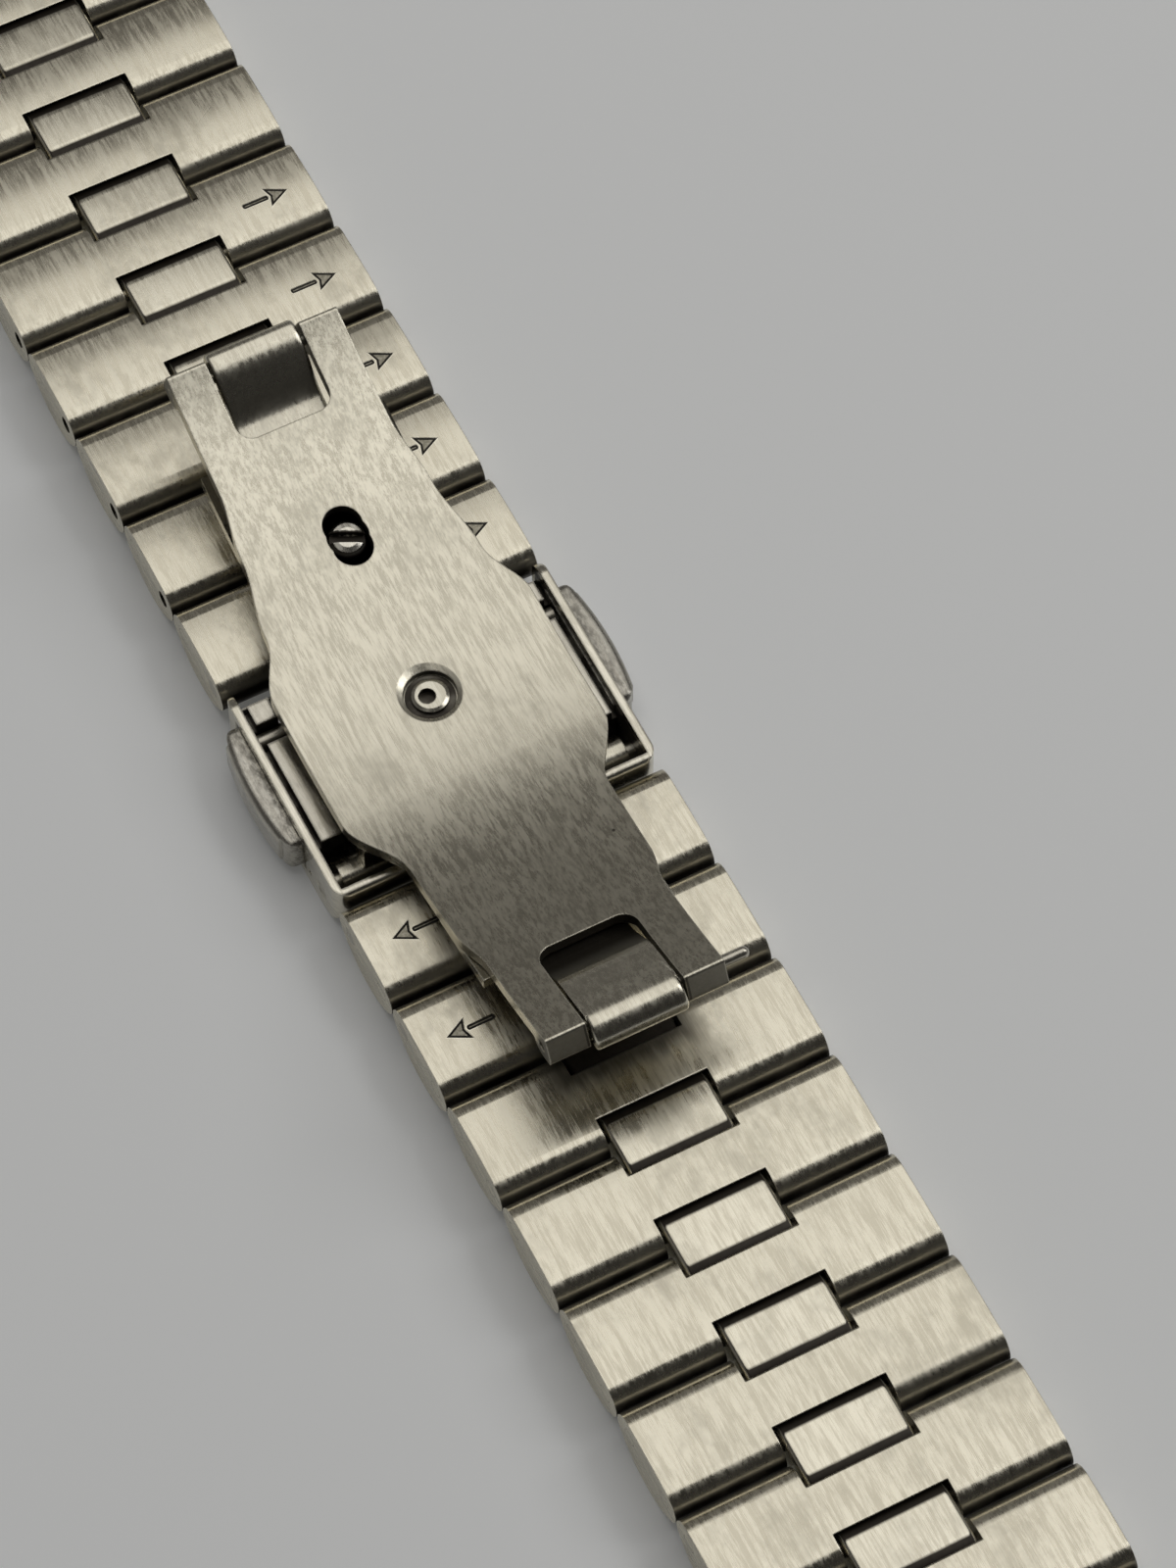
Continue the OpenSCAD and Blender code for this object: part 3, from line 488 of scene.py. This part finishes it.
def arrow(node, tip):
    """A barbed head and a slot for its tail, laid on the crown of this link as a thin sheet with painted shade for
    the cut's walls.
    """
    low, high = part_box(node)
    middle = (low[1] + high[1]) / 2 / MM
    points = 1 if tip[0] > 0 else -1
    mesh = bmesh.new()
    for outline in (HEAD, TAIL):
        rings = []
        for inset, lift in ((-BURR, BURR_LIFT / 2), (0, BURR_LIFT), (CUT_WALL, BURR_LIFT / 2)):
            ring = []
            for x, y in drawn_in(outline, inset):
                x, y = x * points + tip[0], y + tip[1]
                ring.append(mesh.verts.new((x * MM, (y + middle) * MM, (crown_height(y) + lift) * MM)))
            rings.append(ring)
        for level, row in enumerate(skin_over(mesh, rings, smooth=False)):
            for face in row:
                face.material_index = level
        mesh.faces.new(rings[-1]).material_index = 2
    for face in mesh.faces:
        face.normal_update()
        if face.normal.z < 0:
            face.normal_flip()
    piece = made_piece(node.replace("link", "arrow"), mesh, CUT_BURR, CUT_WALL_SHADE, CUT_FLOOR)
    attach(piece, node)


for node, tip in ARROW_TIPS.items():
    arrow(node, tip)


# The centre plate
# A curved sheet with two ears at each end, brushed along the band and handled more than the rest. The
# walls of its openings and its ears' ends are painted dark as shade, and a small pit marks its face. The locking
# stud is riveted through it.
PLATE_AXIS_Z = 60.85 * MM
OPENING_HALF_W = (3.1 * MM, 3.2 * MM)
EAR_ENDS = (22.6 * MM, 23.2 * MM)
PIT_AT, PIT_R = (4.76 * MM, -12.0 * MM), 0.14 * MM


def distance_across(net, place, x, y):
    """How far a place on the piece is from an upright line at x and y."""
    flat = net.vectors("MULTIPLY", net.vectors("SUBTRACT", place, (x, y, 0)), (1, 1, 0))
    return net.vectors("LENGTH", flat)


def opening_shade_group():
    """Painted shade on the walls of the plate's fork, hole and well and on its ears' ends, and its pit painted
    dark, as a mask.
    """
    net, _, out = mask_group("opening_shade", {}, "dirt_and_shade")
    place = net.place()
    to_axis = net.node("ShaderNodeCombineXYZ")
    net.feed(to_axis.inputs["Y"], net.maths("MULTIPLY", net.part(place, "Y"), -1.0))
    net.feed(to_axis.inputs["Z"], net.maths("SUBTRACT", PLATE_AXIS_Z, net.part(place, "Z")))
    upright = net.vectors("DOT_PRODUCT", net.vectors("NORMALIZE", to_axis.outputs["Vector"]), net.facing())
    wall = net.ramp(upright, 0.5, 0.75, 1.0, 0.0)
    inner = net.ramp(net.size(place, "X"), *OPENING_HALF_W, 1.0, 0.0)
    tips = net.ramp(net.size(place, "Y"), *EAR_ENDS, 0.0, 0.7)
    walls = net.maths("MULTIPLY", wall, net.maths("MAXIMUM", inner, tips))
    pit = net.ramp(distance_across(net, place, *PIT_AT), PIT_R / 2, PIT_R, 1.0, 0.0)
    net.feed(out["dirt_and_shade"], net.maths("MAXIMUM", walls, pit))
    return net.tree


# Painted shade on the opening walls and ears' ends; the edges, rubbed clear of it, are painted lighter as highlight
# lines.
PLATE_STEEL = steel("plate_steel", worn=(0.545, 0.513, 0.420), clean=(0.795, 0.754, 0.628), rough=(0.24, 0.33),
                    brushed=0.6, bump=0.17, edge=0.12 * MM, dirt_and_shade=(opening_shade_group(),), smudge_rough=0.07,
                    dirt_and_shade_level=0.9, rim=0.75)
# The stud is painted dark below 5.66 mm, as the shade in the recess round its head.
STUD_STEEL = steel("stud_steel", worn=(0.56, 0.530, 0.440), clean=(0.72, 0.690, 0.585), rough=(0.16, 0.26),
                   brushed=0.1, bump=0.15, edge=0.08 * MM,
                   dirt_and_shade=dirt_and_shade_below(5.66 * MM, fade=0.06 * MM, bottom=-1.0 * MM, sides=1))
dress(["centre_plate"], PLATE_STEEL)
dress(["locking_stud"], STUD_STEEL)


# The hinge pins of the plate
# Hard steel pins, pressed into the ears; pin B stands out on the right.
dress(["hinge_pin_a", "hinge_pin_b"], PIN_STEEL)


# The blades and the snap stud
# Two pressed blades under the plate, whose tongues curl over the hinge pins between the ears. Painted
# shade darkens the snap stud's slit and rim, the blade round its foot and below it, and blade B behind the plate's
# fork.
SNAP_AT, SNAP_TURN = (0.15 * MM, 12.0 * MM), math.radians(-24)
SLIT_EDGE, SLIT_RAGGED = (0.39 * MM, 0.46 * MM), 0.28 * MM
SNAP_RIM, SNAP_FOOT = (1.0 * MM, 1.12 * MM), (1.08 * MM, 1.22 * MM)
BELOW_SNAP = (8.5 * MM, 9.0 * MM), (11.4 * MM, 12.2 * MM)
BEHIND_FORK = (-20.6 * MM, -18.4 * MM), (-8.0 * MM, -6.0 * MM)
NARROW_HALF = (3.4 * MM, 4.2 * MM)


def slit_shade_group():
    """Painted shade in the snap stud's slit, with a ragged edge, and round its rim, as a mask."""
    net, _, out = mask_group("slit_shade", {}, "dirt_and_shade")
    place = net.place()
    across = net.vectors("DOT_PRODUCT", net.vectors("SUBTRACT", place, (*SNAP_AT, 0)),
                         (-math.sin(SNAP_TURN), math.cos(SNAP_TURN), 0))
    ragged = net.noise(place, (2600, 2600, 400), 3)
    off = net.maths("MULTIPLY_ADD", ragged, SLIT_RAGGED, net.maths("ABSOLUTE", across))
    slit = net.ramp(off, *SLIT_EDGE, 1.0, 0.0)
    rim = net.ramp(distance_across(net, place, *SNAP_AT), *SNAP_RIM)
    net.feed(out["dirt_and_shade"], net.maths("MAXIMUM", slit, rim))
    return net.tree


def blade_shade_group():
    """Painted shade round the snap stud's foot, below it, and on blade B up to its tongue, as a mask."""
    net, _, out = mask_group("blade_shade", {}, "dirt_and_shade")
    place = net.place()
    along = net.part(place, "Y")
    foot = net.ramp(distance_across(net, place, *SNAP_AT), *SNAP_FOOT, 1.0, 0.0)
    below, behind = net.between(along, *BELOW_SNAP), net.between(along, *BEHIND_FORK)
    narrow = net.ramp(net.size(place, "X"), *NARROW_HALF, 1.0, 0.0)
    strips = net.maths("MULTIPLY", net.maths("MAXIMUM", below, behind), narrow)
    net.feed(out["dirt_and_shade"], net.maths("MAXIMUM", foot, strips))
    return net.tree


# Painted shade where the plate covers the blades.
BLADE_STEEL = steel("blade_steel", worn=(0.60, 0.566, 0.470), clean=(0.75, 0.712, 0.595), rough=(0.18, 0.30),
                    brushed=0.5, bump=0.45, edge=0.12 * MM, dirt_and_shade=(blade_shade_group(),), dirt_and_shade_level=0.95)
# Painted shade in the snap stud's slit and round its rim.
SNAP_STEEL = steel("snap_steel", worn=(0.66, 0.63, 0.55), clean=(0.86, 0.83, 0.74), rough=(0.20, 0.30),
                   brushed=0.1, bump=0.1, edge=0.06 * MM, dirt_and_shade=(slit_shade_group(),))
dress(["blade_a", "blade_b"], BLADE_STEEL)
dress(["snap_stud"], SNAP_STEEL)

# The tongues, in mm: half of a tongue across, as places and how far each lies below the crest, and the
# line that each crest follows, as places along the band and heights.
TONGUE_STEEL = steel("tongue_steel", worn=(0.58, 0.546, 0.452), clean=(0.78, 0.742, 0.622), rough=(0.20, 0.34),
                     brushed=0.5, bump=0.1, edge=0.05 * MM)
TONGUE_HALF = [(2.3, 0), (2.45, 0), (2.58, 0.01), (2.69, 0.05), (2.75, 0.13), (2.77, 0.24)]
TONGUE_SHEET, CUT_AT, TOUCHING = 0.5, 18.65, 1e-7
CURVE_STEPS, SHARP_ANGLE = 6, math.radians(40)
TONGUE_A = [(17.4, 7.50), (18.2, 7.74), (19.2, 8.04), (20.0, 8.29), (20.5, 8.51), (21.0, 8.93), (21.5, 9.52),
            (22.0, 10.10), (22.5, 10.56), (23.0, 10.85), (23.5, 11.0), (24.0, 11.0), (24.35, 10.75), (24.5, 10.3),
            (24.45, 9.8), (24.1, 9.35), (23.5, 9.1)]
TONGUE_B = [(-20.9, 9.88), (-21.6, 10.23), (-22.2, 10.53), (-22.8, 10.83), (-23.3, 10.96), (-23.8, 10.95),
            (-24.3, 10.73), (-24.65, 10.38), (-24.78, 9.95), (-24.7, 9.55)]


def curve_through(points):
    """A smooth line through these points."""
    line = [points[0], *points, points[-1]]
    smooth = []
    for p0, p1, p2, p3 in zip(line, line[1:], line[2:], line[3:]):
        for i in range(CURVE_STEPS):
            t = i / CURVE_STEPS
            smooth.append(tuple(0.5 * (2 * b + (c - a) * t + (2 * a - 5 * b + 4 * c - d) * t * t
                                       + (3 * b - a - 3 * c + d) * t ** 3) for a, b, c, d in zip(p0, p1, p2, p3)))
    return smooth + [points[-1]]


def tongue_top(name, blade, points):
    """The curled top of a tongue: a sheet along this line, with its long edges rounded over."""
    crest = curve_through(points)
    right = [*TONGUE_HALF, (TONGUE_HALF[-1][0], TONGUE_SHEET)]
    across = [(-x, drop) for x, drop in right[-2::-1]] + right + [(-right[-1][0], TONGUE_SHEET)]
    down = -1 if points[0][0] < points[-1][0] else 1
    mesh = bmesh.new()
    rings = []
    for before, (y, z), after in zip([crest[0]] + crest, crest, crest[1:] + [crest[-1]]):
        along = (Vector(after) - Vector(before)).normalized()
        rings.append([mesh.verts.new((x * MM, (y - down * along.y * drop) * MM, (z + down * along.x * drop) * MM))
                      for x, drop in across])
    skin_over(mesh, rings)
    for end in (rings[0], rings[-1]):
        mesh.faces.new(end)
    bmesh.ops.recalc_face_normals(mesh, faces=mesh.faces)
    piece = made_piece(name, mesh, TONGUE_STEEL)
    piece.data.set_sharp_from_angle(angle=SHARP_ANGLE)
    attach(piece, blade)


def blade_without_tongue(name, node):
    """The blade up to where its tongue starts, which is drawn anew."""
    mesh = bmesh.new()
    mesh.from_mesh(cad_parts[node].data)
    bmesh.ops.bisect_plane(mesh, geom=mesh.verts[:] + mesh.edges[:] + mesh.faces[:], dist=TOUCHING,
                           plane_co=(0, CUT_AT * MM, 0), plane_no=(0, 1, 0), clear_outer=True)
    bmesh.ops.holes_fill(mesh, edges=[edge for edge in mesh.edges if edge.is_boundary])
    piece = made_piece(name, mesh, BLADE_STEEL)
    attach(piece, node)
    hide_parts(node)


blade_without_tongue("pressed_blade_a", "blade_a")
tongue_top("tongue_a", "blade_a", TONGUE_A)
tongue_top("tongue_b", "blade_b", TONGUE_B)


# The clasp box with its pin and rod
# The box is one bent and milled cover: its rims are polished and painted lighter as highlight lines, its inside is
# dull and painted dark as shade.
BOX_INNER_HALF = {"X": 9.53 * MM, "Y": 6.97 * MM}
BOX_SHADE_TOP, BOX_SHADE_FADE, BOX_WALL_FADE = 3.95 * MM, 0.5 * MM, 0.02 * MM


def box_shade_group():
    """Painted shade on the inside of the box, below its rim, uneven in strength, as a mask."""
    net, _, out = mask_group("box_shade", {}, "dirt_and_shade")
    place = net.place()
    mask = net.ramp(net.part(place, "Z"), BOX_SHADE_TOP - BOX_SHADE_FADE, BOX_SHADE_TOP, 1.0, 0.0)
    for axis, half in BOX_INNER_HALF.items():
        inside = net.ramp(net.size(place, axis), half, half + BOX_WALL_FADE, 1.0, 0.0)
        mask = net.maths("MULTIPLY", mask, inside)
    uneven = net.ramp(net.noise(place, (700, 700, 700), 5, 0.65), 0.2, 0.6, 0.65, 1.0)
    net.feed(out["dirt_and_shade"], net.maths("MULTIPLY", mask, uneven))
    return net.tree


# The inside is painted dark as shade; the rims, rubbed clear of it, are painted lighter as highlight lines.
BOX_STEEL = steel("box_steel", worn=(0.60, 0.568, 0.475), clean=(0.80, 0.762, 0.650), rough=(0.11, 0.22),
                  brushed=0.3, bump=0.25, edge=0.24 * MM, dirt_and_shade=(box_shade_group(),), dirt_and_shade_level=0.9, rim=0.4)
dress(["clasp_box"], BOX_STEEL)
dress(["box_pin", "guide_rod"], PIN_STEEL)


# The button springs
# Two coil springs of round hard wire on the guide rod, one behind each slider, which presses it shorter.
ROD_Y, ROD_Z = 4.25, 2.7
SPRING_R, SPRING_WIRE, SPRING_CURLS = 0.8, 0.3, 8
SPRING_FROM, SPRING_TO = 1.2, 7.55
WIRE_SIDES, STEPS_A_CURL = 12, 32
SPRING_STEEL = steel("spring_steel", worn=(0.42, 0.41, 0.39), clean=(0.55, 0.54, 0.52), rough=(0.18, 0.28),
                     brushed=0.1, bump=0.1, edge=0.02 * MM)


def coil(name, side):
    """A spring of round wire along X, with its ends cut square."""
    pitch = (SPRING_TO - SPRING_FROM) / SPRING_CURLS
    slope = math.atan2(pitch, math.tau * SPRING_R)
    mesh = bmesh.new()
    rings = []
    for i in range(SPRING_CURLS * STEPS_A_CURL + 1):
        a = math.tau * i / STEPS_A_CURL
        outwards = Vector((0, math.cos(a), math.sin(a)))
        across = Vector((math.cos(slope), math.sin(slope) * math.sin(a), -math.sin(slope) * math.cos(a)))
        middle = Vector((SPRING_FROM + pitch * i / STEPS_A_CURL, ROD_Y, ROD_Z)) + outwards * SPRING_R
        ring = []
        for k in range(WIRE_SIDES):
            t = math.tau * k / WIRE_SIDES
            p = middle + (outwards * math.cos(t) + across * math.sin(t)) * (SPRING_WIRE / 2)
            ring.append(mesh.verts.new((side * p.x * MM, p.y * MM, p.z * MM)))
        rings.append(ring)
    skin_over(mesh, rings)
    for end in (rings[0], rings[-1]):
        mesh.faces.new(end)
    bmesh.ops.recalc_face_normals(mesh, faces=mesh.faces)
    return made_piece(name, mesh, SPRING_STEEL)


for word, side in (("left", -1), ("right", 1)):
    wire = coil("coil_" + word, side)
    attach(wire, "box")
    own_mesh(wire)
    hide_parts("spring_" + word)


# The buttons and their sliders
# Bars with rounded edges, dulled by the fingers and mottled with dirt, darkened next to the wall by painted shade;
# each is held against the wall by its spring. The sliders inside are painted dark below their tops, as the shade in
# the box.
WALL_SHADE_X = (9.9 * MM, 11.2 * MM)


def finger_dirt_and_wall_shade_group():
    """Mottled dirt on the buttons, strongest next to the wall where painted shade deepens it, as a mask."""
    net, _, out = mask_group("finger_dirt_and_wall_shade", {}, "dirt_and_shade")
    place = net.place()
    # Painted shade next to the wall, fading outwards.
    near = net.ramp(net.size(place, "X"), *WALL_SHADE_X, 1.0, 0.15)
    mottle = net.ramp(net.noise(place, (3000, 1500, 3000), 6, 0.75), 0.38, 0.62, 0.25, 1.0)
    net.feed(out["dirt_and_shade"], net.maths("MULTIPLY", near, mottle))
    return net.tree


# Mottled dirt, with painted shade next to the wall.
BUTTON_STEEL = steel("button_steel", worn=(0.46, 0.437, 0.38), clean=(0.62, 0.597, 0.53), rough=(0.12, 0.24),
                     brushed=0.15, bump=0.3, edge=0.3 * MM, dirt_and_shade=(finger_dirt_and_wall_shade_group(),), dirt_and_shade_level=0.8)
# The sliders are painted dark below their tops, as the shade inside the box.
SLIDER_STEEL = steel("slider_steel", worn=(0.50, 0.473, 0.405), clean=(0.68, 0.648, 0.562), rough=(0.14, 0.26),
                     brushed=0.3, bump=0.3, edge=0.25 * MM,
                     dirt_and_shade=dirt_and_shade_below(3.55 * MM, fade=0.12 * MM, bottom=-1.0 * MM, sides=1))
dress(["button_left", "button_right"], BUTTON_STEEL)
dress(["slider_left", "slider_right"], SLIDER_STEEL)


# The stage
# A plain pale floor under a large soft light and a smaller one, in a dim room.
FLOOR_HALF, FLOOR_LIFT = 3, 0.065
ROOM_ACROSS, ROOM_LIGHT = (-0.35, 0.75), (0.03, 0.135)


def pale_floor():
    """A large square that also looks pale where it is seen or mirrored beyond the lights."""
    mesh = bpy.data.meshes.new("floor")
    corners = [(x * FLOOR_HALF, y * FLOOR_HALF, 0) for x, y in ((-1, -1), (1, -1), (1, 1), (-1, 1))]
    mesh.from_pydata(corners, [], [(0, 1, 2, 3)])
    piece = bpy.data.objects.new("floor", mesh)
    bpy.context.scene.collection.objects.link(piece)
    mat = bpy.data.materials.new("pale_floor")
    mat.use_nodes = True
    net = Wiring(mat.node_tree)
    skin = mat.node_tree.nodes["Principled BSDF"].inputs
    skin["Base Color"].default_value = (0.90, 0.912, 0.918, 1)
    skin["Roughness"].default_value = 0.85
    skin["Emission Color"].default_value = (0.985, 1.0, 1.0, 1)
    ray = net.node("ShaderNodeLightPath").outputs
    seen = net.maths("MAXIMUM", ray["Is Camera Ray"], ray["Is Glossy Ray"])
    net.feed(skin["Emission Strength"], net.maths("MULTIPLY", seen, FLOOR_LIFT))
    mesh.materials.append(mat)


def soft_light(name, place, target, size, radiance, colour):
    """A rectangular soft light of this radiance, turned to the target."""
    data = bpy.data.lights.new(name, "AREA")
    data.shape = "RECTANGLE"
    data.size, data.size_y = size
    data.energy = radiance * math.pi * size[0] * size[1]
    data.color = colour
    lamp = bpy.data.objects.new(name, data)
    lamp.location = place
    lamp.rotation_euler = (Vector(target) - Vector(place)).to_track_quat("-Z", "Y").to_euler()
    bpy.context.scene.collection.objects.link(lamp)


def dim_room():
    """A dim warm room, darkest on the near side and lighter beyond side A."""
    world = bpy.data.worlds.new("room")
    world.use_nodes = True
    net = Wiring(world.node_tree)
    room = world.node_tree.nodes["Background"].inputs
    far = net.part(net.node("ShaderNodeTexCoord").outputs["Generated"], "Y")
    net.feed(room["Strength"], net.ramp(far, *ROOM_ACROSS, *ROOM_LIGHT))
    room["Color"].default_value = (1.0, 0.97, 0.93, 1)
    bpy.context.scene.world = world


pale_floor()
soft_light("overhead", (0.22, 0.202, 0.8), (0.22, 0.202, 0), size=(1.0, 0.824), radiance=0.86,
           colour=(1, 0.985, 0.955))
soft_light("right_side", (0.78, -0.15, 0.82), (0, 0, 0), size=(0.5, 0.6), radiance=2.2, colour=(1, 1, 1))
dim_room()
bpy.context.scene.view_settings.view_transform = "Standard"


# The camera
# It stands over the near end of side B and a little to its left, and looks down on the clasp.
TARGET = Vector((6.082, -6.342, 2.35)) * MM
TOWARDS = Vector((-0.22346, -0.43884, 0.87034))
DISTANCE = 302.36 * MM
ROLL = math.radians(-0.226)
FOCAL_PIXELS, PHOTO_HEIGHT, SENSOR_HEIGHT = 5500, 1600, 36
camera_data = bpy.data.cameras.new("camera")
camera_data.sensor_fit = "VERTICAL"
camera_data.sensor_height = SENSOR_HEIGHT
camera_data.lens = FOCAL_PIXELS / PHOTO_HEIGHT * SENSOR_HEIGHT
camera_data.clip_start = 10 * MM
camera = bpy.data.objects.new("camera", camera_data)
level = Vector((0, 0, 1)).cross(TOWARDS).normalized()
upright = TOWARDS.cross(level)
right = math.cos(ROLL) * level + math.sin(ROLL) * upright
up = -math.sin(ROLL) * level + math.cos(ROLL) * upright
turn = Matrix((right, up, TOWARDS)).transposed()
camera.matrix_world = Matrix.Translation(TARGET + TOWARDS * DISTANCE) @ turn.to_4x4()
bpy.context.scene.collection.objects.link(camera)
bpy.context.scene.camera = camera
